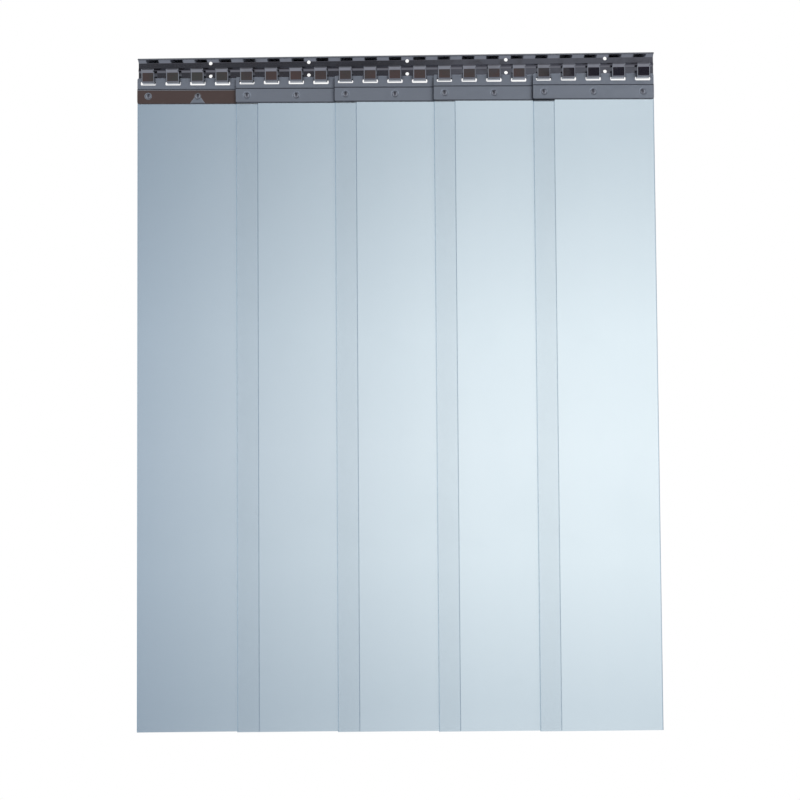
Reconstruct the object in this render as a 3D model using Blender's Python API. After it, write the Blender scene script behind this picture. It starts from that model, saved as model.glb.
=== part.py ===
"""PVC strip curtain: overlapping clear strips that hang from a stainless comb rail.

Metres, +Z up. The rail's fixing face lies in the plane y = 0 and the curtain hangs in front of
it, towards -Y. x = 0 is the middle of the curtain and z = 0 is the rail's upper row of holes.
"""

import math

import bmesh
import bpy
from mathutils import Matrix, Vector

# The curtain: each strip overlaps its neighbour and both share one hook there
STRIP_COUNT = 5
HOOKS_PER_STEP = 4
HOOK_PITCH = 0.041
PLATE_END = 0.018
STRIP_THICKNESS = 0.002
STRIP_DROP = 1.0334

# Comb rail: a folded sheet whose hooks are tongues bent forward and up
RAIL_SHEET = 0.0015
RAIL_HEIGHT = 0.034
RETURN_DEPTH = 0.008
RETURN_BEND_RADIUS = 0.005
TOP_TO_UPPER_HOLES = 0.0075
HOLE_ROW_SPACING = 0.0215
SCREW_HOLE_RADIUS = 0.0030
BEAD_BELOW_HOLES = 0.0113
BEAD_HEIGHT = 0.0084
BEAD_DEPTH = 0.0015
HOOK_DROP = 0.0422
HOOK_WIDTH = 0.021
HOOK_BEND_RADIUS = 0.001
HOOK_SIDE_CLEARANCE = 0.0009
HOOK_FRONT_HEIGHT = 0.0156
LIP_LENGTH = 0.0063
LIP_ANGLE = math.radians(35)

# Hanger: two identical pressed plates, back to back, riveted through the strip
PLATE_SHEET = 0.0008
PLATE_CORNER_RADIUS = 0.003
PLATE_PAIR_GAP = 0.0003
BAR_HEIGHT = 0.0055
WINDOW_HEIGHT = 0.0064
WINDOW_SIDE_CLEARANCE = 0.0022
WINDOW_CORNER_RADIUS = 0.0018
WINDOW_TO_JOGGLE = 0.0063
JOGGLE_HEIGHT = 0.0020
BAND_HEIGHT = 0.0228
SEAT_CLEARANCE = 0.0011
HANGER_CLEARANCE = 0.0005

# Dimples that key through the strip, and the rivets in them
DIMPLE_RADIUS = 0.0070
DIMPLE_FLOOR_RADIUS = 0.0046
DIMPLE_ABOVE_EDGE = 0.0125
RIVET_RADIUS = 0.0025
RIVET_HEAD_RADIUS = 0.0040
RIVET_HEAD_THICKNESS = 0.0008

# The strip bends where it leaves the plates
BEND_BELOW_PLATES = 0.00065
STRIP_EDGE_RADIUS = 0.0008

FIT_GAP = 0.0003
CUT_OVERRUN = 0.0010
WELD_DISTANCE = 0.000001

BEND_STEPS = 3
RETURN_STEPS = 5
BEAD_STEPS = 6
CORNER_STEPS = 2
ROUND_SIDES = 12
STRIP_TOP_STEPS = 3
FLAT_ANGLE = math.radians(0.2)
ROUND_SHARP_ANGLE = math.radians(35)
PLATE_SHARP_ANGLE = math.radians(20)

# Worked out from the sizes above
STRIP_STEP = HOOKS_PER_STEP * HOOK_PITCH
STRIP_WIDTH = STRIP_STEP + 2 * PLATE_END
HOOK_COUNT = STRIP_COUNT * HOOKS_PER_STEP + 1
CURTAIN_WIDTH = (STRIP_COUNT - 1) * STRIP_STEP + STRIP_WIDTH
WINDOW_WIDTH = HOOK_WIDTH + 2 * WINDOW_SIDE_CLEARANCE

BAR_HALF = PLATE_PAIR_GAP / 2 + PLATE_SHEET
CLAMP_HALF = STRIP_THICKNESS / 2 + FIT_GAP
BAND_HALF = CLAMP_HALF + PLATE_SHEET
HANGER_SPACING = 2 * BAND_HALF + HANGER_CLEARANCE
HANGER_YAW = math.asin(HANGER_SPACING / STRIP_STEP)
SHARED_OFFSET = (STRIP_STEP + HOOK_WIDTH) / 2 * math.tan(HANGER_YAW)
HOOK_THROAT = 2 * (SHARED_OFFSET + BAR_HALF + HOOK_SIDE_CLEARANCE)
HANGER_Y = -(RAIL_SHEET + HOOK_THROAT / 2)

RAIL_TOP_Z = TOP_TO_UPPER_HOLES
RAIL_END_Z = RAIL_TOP_Z - RAIL_HEIGHT
HOOK_FLOOR_Z = RAIL_TOP_Z - HOOK_DROP + RAIL_SHEET
SEAT_Z = HOOK_FLOOR_Z + SEAT_CLEARANCE

# Heights on a hanger, measured from the seat edge of its windows
JOGGLE_TOP = -(WINDOW_HEIGHT + WINDOW_TO_JOGGLE)
BAND_TOP = JOGGLE_TOP - JOGGLE_HEIGHT
PLATE_FOOT = BAND_TOP - BAND_HEIGHT
DIMPLE_LEVEL = PLATE_FOOT + DIMPLE_ABOVE_EDGE
BEND_LEVEL = PLATE_FOOT - BEND_BELOW_PLATES
DIMPLE_DEPTH = CLAMP_HALF - PLATE_PAIR_GAP / 2


def clear_scene():
    for item in list(bpy.data.objects):
        bpy.data.objects.remove(item, do_unlink=True)


def steel(name, colour, roughness):
    material = bpy.data.materials.new(name)
    material.use_nodes = True
    shader = material.node_tree.nodes["Principled BSDF"]
    shader.inputs["Base Color"].default_value = colour
    shader.inputs["Metallic"].default_value = 1.0
    shader.inputs["Roughness"].default_value = roughness
    return material


def clear_pvc():
    material = bpy.data.materials.new("clear_pvc")
    material.use_nodes = True
    shader = material.node_tree.nodes["Principled BSDF"]
    shader.inputs["Base Color"].default_value = (0.78, 0.87, 0.93, 1.0)
    shader.inputs["Roughness"].default_value = 0.12
    shader.inputs["IOR"].default_value = 1.53
    shader.inputs["Alpha"].default_value = 0.45
    return material


def place(name, mesh, parent=None, location=(0, 0, 0), turn=0):
    """A new object that shows a mesh, turned about Z and moved inside its parent."""
    item = bpy.data.objects.new(name, mesh)
    item.parent = parent
    item.location = location
    item.rotation_euler = (0, 0, turn)
    bpy.context.collection.objects.link(item)
    return item


def pivot(name, parent, location, turn=0):
    item = place(name, None, parent, location, turn)
    item.empty_display_size = HOOK_WIDTH
    return item


def finished_mesh(bm, name, material=None, sharp_angle=ROUND_SHARP_ANGLE):
    bmesh.ops.recalc_face_normals(bm, faces=bm.faces)
    mesh = bpy.data.meshes.new(name)
    bm.to_mesh(mesh)
    bm.free()
    if material:
        finish_surface(mesh, material, sharp_angle)
    return mesh


def finish_surface(mesh, material, sharp_angle):
    mesh.materials.clear()
    mesh.materials.append(material)
    mesh.shade_smooth()
    mesh.set_sharp_from_angle(angle=sharp_angle)


def machined(name, blank, material, steps, sharp_angle=ROUND_SHARP_ANGLE):
    """The mesh of a blank after its Boolean steps, each an operation and a tool mesh."""
    item = place(name, blank)
    tools = []
    for operation, tool_mesh in steps:
        tool = place(name + "_tool", tool_mesh)
        tool.hide_render = True
        tool.display_type = "WIRE"
        tools.append(tool)
        change = item.modifiers.new("change", "BOOLEAN")
        change.solver = "EXACT"
        change.operation = operation
        change.object = tool
    view = bpy.context.evaluated_depsgraph_get()
    mesh = bpy.data.meshes.new_from_object(item.evaluated_get(view))
    mesh.name = name
    for used in [item] + tools:
        bpy.data.objects.remove(used, do_unlink=True)
    finish_surface(mesh, material, sharp_angle)
    return mesh


def bend(before, corner, after, radius, steps=BEND_STEPS):
    """The arc that rounds one corner of a sheet's centre line."""
    back = (before - corner).normalized()
    ahead = (after - corner).normalized()
    half = back.angle(ahead) / 2
    middle = corner + (back + ahead).normalized() * (radius / math.sin(half))
    reach = radius / math.tan(half)
    first = (corner + back * reach - middle).normalized()
    last = (corner + ahead * reach - middle).normalized()
    shares = [step / steps for step in range(steps + 1)]
    return [middle + radius * first.slerp(last, share) for share in shares]


def sheet_sides(path, thickness):
    """Pairs of points on the two faces of a sheet that follows a centre line of (y, z) points."""
    sides = []
    for index, point in enumerate(path):
        arriving = (point - path[max(index - 1, 0)]).normalized()
        leaving = (path[min(index + 1, len(path) - 1)] - point).normalized()
        along = (arriving + leaving).normalized()
        across = Vector((along.y, -along.x))
        square = Vector((leaving.y, -leaving.x)) if leaving.length else across
        offset = across * (thickness / 2 / across.dot(square))
        sides.append((point - offset, point + offset))
    return sides


def add_sheet(bm, sides, x_left, x_right, open_start=False, open_end=False, open_flanks=False):
    """One length of bent sheet along X, skinned on both faces and on its cut edges."""
    rows = []
    for pair in sides:
        corners = [(x_left, pair[0]), (x_right, pair[0]), (x_right, pair[1]), (x_left, pair[1])]
        rows.append([bm.verts.new((x, point.x, point.y)) for x, point in corners])
    for upper, lower in zip(rows, rows[1:]):
        for side in range(len(upper)):
            if open_flanks and side % 2:
                continue
            following = (side + 1) % len(upper)
            bm.faces.new((upper[side], upper[following], lower[following], lower[side]))
    if not open_start:
        bm.faces.new(rows[0])
    if not open_end:
        bm.faces.new(rows[-1])


def add_turned(bm, profile, x, z):
    """A solid turned about a Y axis, from (y, radius) points along its profile."""
    rings = []
    for y, radius in profile:
        ring = []
        for side in range(ROUND_SIDES):
            angle = math.tau * (side + 1 / 2) / ROUND_SIDES
            ring.append(bm.verts.new((x + radius * math.cos(angle), y, z + radius * math.sin(angle))))
        rings.append(ring)
    add_rings(bm, rings)


def add_rings(bm, rings):
    """Skin neighbouring rings of vertices and close both ends."""
    for near, far in zip(rings, rings[1:]):
        for side in range(len(near)):
            following = (side + 1) % len(near)
            bm.faces.new((near[side], near[following], far[following], far[side]))
    bm.faces.new(rings[0])
    bm.faces.new(rings[-1])


def rounded_rectangle(width, height, radius):
    """Points round a rectangle with rounded corners, centred on the origin."""
    points = []
    for quarter, (side_x, side_y) in enumerate([(1, 1), (-1, 1), (-1, -1), (1, -1)]):
        middle = Vector((side_x * (width / 2 - radius), side_y * (height / 2 - radius)))
        for step in range(CORNER_STEPS + 1):
            angle = math.pi / 2 * (quarter + step / CORNER_STEPS)
            points.append(middle + radius * Vector((math.cos(angle), math.sin(angle))))
    return points


def rail_flange_path():
    """Centre line of the rail: top return, fixing flange and its pressed bead."""
    plane = -RAIL_SHEET / 2
    roof = RAIL_TOP_Z - RAIL_SHEET / 2
    tip = Vector((-RETURN_DEPTH, roof))
    corner = Vector((plane, roof))
    end = Vector((plane, RAIL_END_Z))
    path = [tip] + bend(tip, corner, end, RETURN_BEND_RADIUS + RAIL_SHEET / 2, RETURN_STEPS)
    for step in range(BEAD_STEPS + 1):
        share = step / BEAD_STEPS
        swell = (1 - math.cos(math.tau * share)) / 2
        height = -BEAD_BELOW_HOLES + BEAD_HEIGHT * (1 / 2 - share)
        path.append(Vector((plane - BEAD_DEPTH * swell, height)))
    return path + [end]


def hook_path():
    """Centre line of one hook: down from the flange, forward under the bar, up to its lip."""
    root = Vector((-RAIL_SHEET / 2, RAIL_END_Z))
    floor = HOOK_FLOOR_Z - RAIL_SHEET / 2
    front = root.x - HOOK_THROAT - RAIL_SHEET
    rear_corner = Vector((root.x, floor))
    front_corner = Vector((front, floor))
    lip_corner = Vector((front, floor + HOOK_FRONT_HEIGHT))
    lip = Vector((-math.sin(LIP_ANGLE), math.cos(LIP_ANGLE))) * LIP_LENGTH
    radius = HOOK_BEND_RADIUS + RAIL_SHEET / 2
    path = [root]
    path += bend(root, rear_corner, front_corner, radius)
    path += bend(rear_corner, front_corner, lip_corner, radius)
    path += bend(front_corner, lip_corner, lip_corner + lip, radius)
    return path + [lip_corner + lip]


def hook_rail_mesh(material):
    flange = sheet_sides(rail_flange_path(), RAIL_SHEET)
    hook = sheet_sides(hook_path(), RAIL_SHEET)
    bm = bmesh.new()
    edge = -CURTAIN_WIDTH / 2
    for index in range(HOOK_COUNT):
        middle = (index - (HOOK_COUNT - 1) / 2) * HOOK_PITCH
        left = middle - HOOK_WIDTH / 2
        right = middle + HOOK_WIDTH / 2
        add_sheet(bm, flange, edge, left, open_flanks=True)
        add_sheet(bm, flange, left, right, open_end=True, open_flanks=True)
        add_sheet(bm, hook, left, right, open_start=True)
        edge = right
    add_sheet(bm, flange, edge, CURTAIN_WIDTH / 2, open_flanks=True)
    bmesh.ops.remove_doubles(bm, verts=bm.verts, dist=WELD_DISTANCE)
    open_edges = [line for line in bm.edges if line.is_boundary]
    bmesh.ops.holes_fill(bm, edges=open_edges)
    bmesh.ops.dissolve_limit(bm, angle_limit=FLAT_ANGLE, verts=bm.verts, edges=bm.edges)
    blank = finished_mesh(bm, "rail_blank")
    return machined("hook_rail", blank, material, [("DIFFERENCE", screw_hole_tool())])


def screw_hole_tool():
    """Two rows of screw holes, one pair for each strip, halfway between two hooks."""
    bm = bmesh.new()
    first = -(STRIP_COUNT - 1) / 2 * STRIP_STEP + HOOK_PITCH / 2
    for index in range(STRIP_COUNT):
        for level in (0, -HOLE_ROW_SPACING):
            ends = [(y, SCREW_HOLE_RADIUS) for y in (-RAIL_SHEET - CUT_OVERRUN, CUT_OVERRUN)]
            add_turned(bm, ends, first + index * STRIP_STEP, level)
    return finished_mesh(bm, "screw_holes")


def dimple_places():
    """Dimples sit under the first, middle and last window of a plate."""
    reach = HOOKS_PER_STEP / 2 * HOOK_PITCH
    return (-reach, 0, reach)


def plate_blank():
    """The plate's joggled sheet with its four rounded corners, as the front plate stands."""
    bar_plane = -(BAR_HALF - PLATE_SHEET / 2)
    band_plane = -(BAND_HALF - PLATE_SHEET / 2)
    path = [
        Vector((bar_plane, BAR_HEIGHT)),
        Vector((bar_plane, JOGGLE_TOP)),
        Vector((band_plane, BAND_TOP)),
        Vector((band_plane, PLATE_FOOT)),
    ]
    bm = bmesh.new()
    add_sheet(bm, sheet_sides(path, PLATE_SHEET), -STRIP_WIDTH / 2, STRIP_WIDTH / 2)
    ends = (BAR_HEIGHT, PLATE_FOOT)
    corners = []
    for line in bm.edges:
        a, b = (vert.co for vert in line.verts)
        at_end = min(abs(a.z - level) for level in ends) < WELD_DISTANCE
        if at_end and abs(a.x - b.x) < WELD_DISTANCE and abs(a.z - b.z) < WELD_DISTANCE:
            corners.append(line)
    bmesh.ops.bevel(bm, geom=corners, offset=PLATE_CORNER_RADIUS, segments=CORNER_STEPS + 1,
                    profile=1 / 2, affect="EDGES")
    return finished_mesh(bm, "plate_blank")


def window_tool():
    """The windows that let a plate's top bar drop over the hooks."""
    bm = bmesh.new()
    outline = rounded_rectangle(WINDOW_WIDTH, WINDOW_HEIGHT, WINDOW_CORNER_RADIUS)
    for index in range(HOOKS_PER_STEP + 1):
        middle = (index - HOOKS_PER_STEP / 2) * HOOK_PITCH
        rings = []
        for y in (-BAR_HALF - CUT_OVERRUN, CUT_OVERRUN):
            level = -WINDOW_HEIGHT / 2
            rings.append([bm.verts.new((middle + p.x, y, level + p.y)) for p in outline])
        add_rings(bm, rings)
    return finished_mesh(bm, "windows")


def dimple_radius_at(depth):
    """Radius of the pressed cone at a depth below the face it is pressed into."""
    return DIMPLE_RADIUS - (DIMPLE_RADIUS - DIMPLE_FLOOR_RADIUS) * depth / DIMPLE_DEPTH


def dimple_cup_tool():
    """What a dimple adds behind the plate's band: a cup down to the other plate."""
    bm = bmesh.new()
    start = -PLATE_SHEET / 2
    profile = [(-CLAMP_HALF + start, dimple_radius_at(start)), (-PLATE_PAIR_GAP / 2, DIMPLE_FLOOR_RADIUS)]
    for x in dimple_places():
        add_turned(bm, profile, x, DIMPLE_LEVEL)
    return finished_mesh(bm, "dimple_cups")


def dimple_sink_tool():
    """What a dimple takes away: its dished front and the rivet's hole."""
    bm = bmesh.new()
    floor = -PLATE_PAIR_GAP / 2 - PLATE_SHEET
    hole = RIVET_RADIUS + FIT_GAP
    profile = [
        (-BAND_HALF - CUT_OVERRUN, dimple_radius_at(-CUT_OVERRUN)),
        (floor, DIMPLE_FLOOR_RADIUS),
        (floor, hole),
        (CUT_OVERRUN, hole),
    ]
    for x in dimple_places():
        add_turned(bm, profile, x, DIMPLE_LEVEL)
    return finished_mesh(bm, "dimple_sinks")


def plate_mesh(material):
    steps = [
        ("UNION", dimple_cup_tool()),
        ("DIFFERENCE", dimple_sink_tool()),
        ("DIFFERENCE", window_tool()),
    ]
    return machined("hanger_plate", plate_blank(), material, steps, PLATE_SHARP_ANGLE)


def rivet_mesh(material):
    """A flush rivet, centred between the two plates that it holds."""
    seat = BAR_HALF + FIT_GAP
    top = seat + RIVET_HEAD_THICKNESS
    profile = [
        (-top, RIVET_HEAD_RADIUS),
        (-seat, RIVET_HEAD_RADIUS),
        (-seat, RIVET_RADIUS),
        (seat, RIVET_RADIUS),
        (seat, RIVET_HEAD_RADIUS),
        (top, RIVET_HEAD_RADIUS),
    ]
    bm = bmesh.new()
    add_turned(bm, profile, 0, 0)
    return finished_mesh(bm, "rivet", material)


def strip_ring(bm, z, slimness=1):
    outline = rounded_rectangle(STRIP_WIDTH, STRIP_THICKNESS, STRIP_EDGE_RADIUS)
    return [bm.verts.new((point.x, point.y * slimness, z)) for point in outline]


def clamped_end_mesh(material):
    """The end of a strip between the plates, punched where the dimples key through it."""
    half_round = STRIP_THICKNESS / 2
    bm = bmesh.new()
    foot = BEND_LEVEL + half_round + FIT_GAP
    add_rings(bm, [strip_ring(bm, foot), strip_ring(bm, BAND_TOP - FIT_GAP)])
    blank = finished_mesh(bm, "clamped_end_blank")
    punch = bmesh.new()
    hole = dimple_radius_at(FIT_GAP) + FIT_GAP
    ends = [(y, hole) for y in (-half_round - CUT_OVERRUN, half_round + CUT_OVERRUN)]
    for x in dimple_places():
        add_turned(punch, ends, x, DIMPLE_LEVEL)
    steps = [("DIFFERENCE", finished_mesh(punch, "dimple_clearance"))]
    return machined("clamped_end", blank, material, steps)


def strip_mesh(material):
    """The hanging strip, from the half-round at its bend line to its square cut foot."""
    bm = bmesh.new()
    half_round = STRIP_THICKNESS / 2
    foot = BEND_BELOW_PLATES - STRIP_DROP
    rings = [strip_ring(bm, foot)]
    for step in range(STRIP_TOP_STEPS + 1):
        angle = math.pi / 2 * step / (STRIP_TOP_STEPS + 1 / 2)
        rings.append(strip_ring(bm, half_round * math.sin(angle), math.cos(angle)))
    add_rings(bm, rings)
    return finished_mesh(bm, "strip", material)


def build_curtain():
    clear_scene()
    polished = steel("polished_stainless", (0.48, 0.48, 0.50, 1.0), 0.08)
    brushed = steel("brushed_stainless", (0.42, 0.44, 0.47, 1.0), 0.32)
    rivet_steel = steel("rivet_stainless", (0.50, 0.50, 0.52, 1.0), 0.28)
    pvc = clear_pvc()
    rail = place("hook_rail", hook_rail_mesh(polished))
    plate = plate_mesh(brushed)
    rivet = rivet_mesh(rivet_steel)
    clamped_end = clamped_end_mesh(pvc)
    strip = strip_mesh(pvc)
    for number in range(1, STRIP_COUNT + 1):
        x = (number - (STRIP_COUNT + 1) / 2) * STRIP_STEP
        hanger = pivot(f"hanger_{number}_pivot", rail, (x, HANGER_Y, SEAT_Z))
        place(f"front_plate_{number}", plate, hanger, turn=HANGER_YAW)
        place(f"back_plate_{number}", plate, hanger, turn=HANGER_YAW + math.pi)
        for side, along in zip(("left", "middle", "right"), dimple_places()):
            seat = Matrix.Rotation(HANGER_YAW, 3, "Z") @ Vector((along, 0, DIMPLE_LEVEL))
            place(f"rivet_{number}_{side}", rivet, hanger, seat, HANGER_YAW)
        place(f"strip_{number}_clamped_end", clamped_end, hanger, turn=HANGER_YAW)
        bend_line = pivot(f"strip_{number}_bend", hanger, (0, 0, BEND_LEVEL), HANGER_YAW)
        place(f"strip_{number}", strip, bend_line)


build_curtain()
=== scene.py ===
"""A clear PVC strip curtain on its polished comb rail, dressed over the CAD frame.

Metres, +Z up. The wall is the plane y = 0 and the curtain hangs in front of it, towards -Y.
x = 0 is the middle of the curtain and z = 0 is the rail's upper row of screw holes.
"""

import math

import bmesh
import bpy
from mathutils import Matrix, Vector


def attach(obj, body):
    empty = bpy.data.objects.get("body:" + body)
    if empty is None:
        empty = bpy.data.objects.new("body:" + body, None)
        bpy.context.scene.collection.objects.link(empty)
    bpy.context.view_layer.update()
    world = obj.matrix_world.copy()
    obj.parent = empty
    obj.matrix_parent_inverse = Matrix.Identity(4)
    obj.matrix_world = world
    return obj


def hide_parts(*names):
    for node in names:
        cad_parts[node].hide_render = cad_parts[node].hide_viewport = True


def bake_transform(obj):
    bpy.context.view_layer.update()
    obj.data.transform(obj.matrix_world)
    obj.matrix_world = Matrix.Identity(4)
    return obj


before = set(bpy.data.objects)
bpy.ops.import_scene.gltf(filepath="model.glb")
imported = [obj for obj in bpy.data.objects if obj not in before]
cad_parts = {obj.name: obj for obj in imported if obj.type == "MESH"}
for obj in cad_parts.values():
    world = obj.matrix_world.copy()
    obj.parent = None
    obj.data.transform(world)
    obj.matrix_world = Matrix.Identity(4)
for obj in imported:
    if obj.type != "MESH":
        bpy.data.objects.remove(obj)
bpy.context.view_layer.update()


# Comb rail. One sheet of polished stainless, 1.5 mm thick: its top edge is folded forward and
# hemmed, a bead is rolled along it between the two rows of screw holes, and its lower edge is cut
# into tongues that are bent forward and up into hooks. Screws would hold it flat on a wall.

STRIP_COUNT = 5
HOOKS_PER_STEP = 4
HOOK_PITCH = 0.041
PLATE_END = 0.018
STRIP_STEP = HOOKS_PER_STEP * HOOK_PITCH
HOOK_COUNT = STRIP_COUNT * HOOKS_PER_STEP + 1
STRIP_WIDTH = STRIP_STEP + 2 * PLATE_END
RAIL_HALF_LENGTH = ((STRIP_COUNT - 1) * STRIP_STEP + STRIP_WIDTH) / 2

RAIL_SHEET = 0.0015
RAIL_TOP = 0.0075
RAIL_END = -0.0265
RETURN_DEPTH = 0.008
RETURN_SLANT = 0.0052
RETURN_RADIUS = 0.0015
HEM_HEIGHT = 0.0028
HEM_RADIUS = 0.0008
HEM_FACE_DEPTH = 0.0001
BEAD_LEVEL = -0.0113
BEAD_HEIGHT = 0.0084
BEAD_DEPTH = 0.0015
HOOK_WIDTH = 0.021
HOOK_THROAT = 0.009004
HOOK_FLOOR = -0.0332
HOOK_RADIUS = 0.001
HOOK_FRONT_HEIGHT = 0.0156
HOOK_SPRING = math.radians(2.5)
LIP_LENGTH = 0.0063
LIP_ANGLE = math.radians(35)
HOOK_EDGE_RADIUS = 0.0014
SCREW_HOLE_RADIUS = 0.003
HOLE_ROW_SPACING = 0.0215
DRILL_LENGTH = 0.01
BEND_STEPS = 7
BEAD_STEPS = 18
EDGE_SEGMENTS = 4
HOLE_SIDES = 40
WELD = 0.00001
SHARP_ANGLE = math.radians(35)


def feed(tree, made, inputs):
    """Sets each named input to a value, or links it to a socket."""
    for key, value in inputs.items():
        if isinstance(value, bpy.types.NodeSocket):
            tree.links.new(value, made.inputs[key])
        else:
            made.inputs[key].default_value = value


def node(tree, kind, inputs=None, **settings):
    """A new node with its settings and its inputs."""
    made = tree.nodes.new(kind)
    for key, value in settings.items():
        setattr(made, key, value)
    feed(tree, made, inputs or {})
    return made


def maths(tree, operation, *values):
    """One step of arithmetic on numbers or sockets."""
    return node(tree, "ShaderNodeMath", dict(enumerate(values)), operation=operation).outputs[0]


def shape_tree(name, sizes):
    """An empty geometry tree with a geometry input and one named input for each size."""
    tree = bpy.data.node_groups.new(name, "GeometryNodeTree")
    tree.interface.new_socket("Geometry", in_out="OUTPUT", socket_type="NodeSocketGeometry")
    tree.interface.new_socket("Geometry", in_out="INPUT", socket_type="NodeSocketGeometry")
    for label, value in sizes.items():
        kind = "NodeSocketInt" if isinstance(value, int) else "NodeSocketFloat"
        tree.interface.new_socket(label, in_out="INPUT", socket_type=kind)
    return tree, tree.nodes.new("NodeGroupInput").outputs


def shaped_mesh(name, blank, shape, material, sizes):
    """The plain mesh that a shape's geometry tree makes from a blank with these sizes."""
    item = bpy.data.objects.new(name, blank)
    bpy.context.collection.objects.link(item)
    change = item.modifiers.new(name, "NODES")
    change.node_group = shape(sizes, material)
    for socket in change.node_group.interface.items_tree:
        if socket.in_out == "INPUT" and socket.name in sizes:
            change[socket.identifier] = sizes[socket.name]
    view = bpy.context.evaluated_depsgraph_get()
    mesh = bpy.data.meshes.new_from_object(item.evaluated_get(view))
    mesh.name = name
    bpy.data.objects.remove(item, do_unlink=True)
    return mesh


def point_row(tree, count, pitch, level=0.0):
    """Points along X, centred on x = 0, at one height. Count and pitch are sockets."""
    reach = maths(tree, "MULTIPLY", maths(tree, "SUBTRACT", count, 1.0), pitch)
    first = maths(tree, "MULTIPLY", reach, -0.5)
    start = node(tree, "ShaderNodeCombineXYZ", {"X": first, "Z": level}).outputs[0]
    step = node(tree, "ShaderNodeCombineXYZ", {"X": pitch}).outputs[0]
    line = node(tree, "GeometryNodeMeshLine", {"Count": count, "Start Location": start,
                                               "Offset": step})
    return line.outputs["Mesh"]


def repeated(tree, points, piece):
    """The piece once at each point, as plain geometry."""
    spread = node(tree, "GeometryNodeInstanceOnPoints", {"Points": points, "Instance": piece})
    return node(tree, "GeometryNodeRealizeInstances", {"Geometry": spread.outputs[0]}).outputs[0]


def moved(tree, geometry, **change):
    """The geometry after a Translation or a Rotation."""
    return node(tree, "GeometryNodeTransform", {"Geometry": geometry, **change}).outputs[0]


def joined(tree, *parts):
    whole = node(tree, "GeometryNodeJoinGeometry")
    for part in parts:
        tree.links.new(part, whole.inputs[0])
    return whole.outputs[0]


def welded(tree, geometry):
    return node(tree, "GeometryNodeMergeByDistance", {"Geometry": geometry,
                                                      "Distance": WELD}).outputs[0]


def round_tools(tree, points, radius, length):
    """Cylinders that lie along Y, one at each point."""
    bar = node(tree, "GeometryNodeMeshCylinder", {"Vertices": HOLE_SIDES, "Radius": radius,
                                                  "Depth": length})
    laid = moved(tree, bar.outputs["Mesh"], Rotation=(math.pi / 2, 0, 0))
    return repeated(tree, points, laid)


def cut_away(tree, body, tools):
    cut = node(tree, "GeometryNodeMeshBoolean", {"Mesh 1": body, "Mesh 2": tools},
               operation="DIFFERENCE", solver="EXACT")
    return cut.outputs["Mesh"]


def end_tree(tree, geometry, material):
    """Every tree ends in plain, realized geometry with its material set."""
    plain = node(tree, "GeometryNodeRealizeInstances", {"Geometry": geometry}).outputs[0]
    painted = node(tree, "GeometryNodeSetMaterial", {"Geometry": plain, "Material": material})
    node(tree, "NodeGroupOutput", {"Geometry": painted.outputs[0]})


def finished_piece(name, mesh, sharp_angle=SHARP_ANGLE, rigid=True):
    """A finished piece stands at the origin. A rigid one's flat faces shade flat to their edges."""
    mesh.shade_smooth()
    mesh.set_sharp_from_angle(angle=sharp_angle)
    item = bpy.data.objects.new(name, mesh)
    bpy.context.collection.objects.link(item)
    if rigid:
        flat_faces = item.modifiers.new("flat_faces", "WEIGHTED_NORMAL")
        flat_faces.keep_sharp = True
    return item


def bend(before, corner, after, radius):
    """The arc that rounds one corner of a sheet's centre line."""
    back = (before - corner).normalized()
    ahead = (after - corner).normalized()
    half = back.angle(ahead) / 2
    middle = corner + (back + ahead).normalized() * (radius / math.sin(half))
    reach = radius / math.tan(half)
    first = (corner + back * reach - middle).normalized()
    last = (corner + ahead * reach - middle).normalized()
    shares = [step / BEND_STEPS for step in range(BEND_STEPS + 1)]
    return [middle + radius * first.slerp(last, share) for share in shares]


def sheet_sides(path, thickness):
    """Pairs of points on the two faces of a sheet that follows a centre line of (y, z) points."""
    sides = []
    for index, point in enumerate(path):
        arriving = (point - path[max(index - 1, 0)]).normalized()
        leaving = (path[min(index + 1, len(path) - 1)] - point).normalized()
        along = (arriving + leaving).normalized()
        across = Vector((along.y, -along.x))
        square = Vector((leaving.y, -leaving.x)) if leaving.length else across
        offset = across * (thickness / 2 / across.dot(square))
        sides.append((point - offset, point + offset))
    return sides


def flange_path():
    """Centre line of the top return and its hem, the fixing flange and its rolled bead."""
    plane = -RAIL_SHEET / 2
    roof = RAIL_TOP - RAIL_SHEET / 2
    nose = Vector((RAIL_SHEET / 2 - RETURN_DEPTH, roof))
    hem, end = Vector((nose.x, RAIL_TOP - HEM_HEIGHT)), Vector((plane, RAIL_END))
    slant_top = Vector((plane - RETURN_SLANT, roof))
    slant_foot = Vector((plane, roof - RETURN_SLANT))
    path = [hem] + bend(hem, nose, slant_top, HEM_RADIUS)
    path += bend(nose, slant_top, slant_foot, HEM_RADIUS)
    path += bend(slant_top, slant_foot, end, RETURN_RADIUS)
    for step in range(BEAD_STEPS + 1):
        share = step / BEAD_STEPS
        swell = (1 - math.cos(math.tau * share)) / 2
        level = BEAD_LEVEL + BEAD_HEIGHT * (1 / 2 - share)
        path.append(Vector((plane - BEAD_DEPTH * swell, level)))
    return path + [end]


def hook_path():
    """Centre line of one hook. Its front springs out a little, as bent sheet does."""
    root = Vector((-RAIL_SHEET / 2, RAIL_END))
    floor = HOOK_FLOOR - RAIL_SHEET / 2
    rear_corner = Vector((root.x, floor))
    front_corner = Vector((root.x - HOOK_THROAT - RAIL_SHEET, floor))
    rise = Vector((-math.sin(HOOK_SPRING), math.cos(HOOK_SPRING)))
    lip_corner = front_corner + rise * HOOK_FRONT_HEIGHT
    lip = Vector((-math.sin(LIP_ANGLE), math.cos(LIP_ANGLE))) * LIP_LENGTH
    radius = HOOK_RADIUS + RAIL_SHEET / 2
    path = [root] + bend(root, rear_corner, front_corner, radius)
    path += bend(rear_corner, front_corner, lip_corner, radius)
    path += bend(front_corner, lip_corner, lip_corner + lip, radius)
    return path + [lip_corner + lip]


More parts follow.
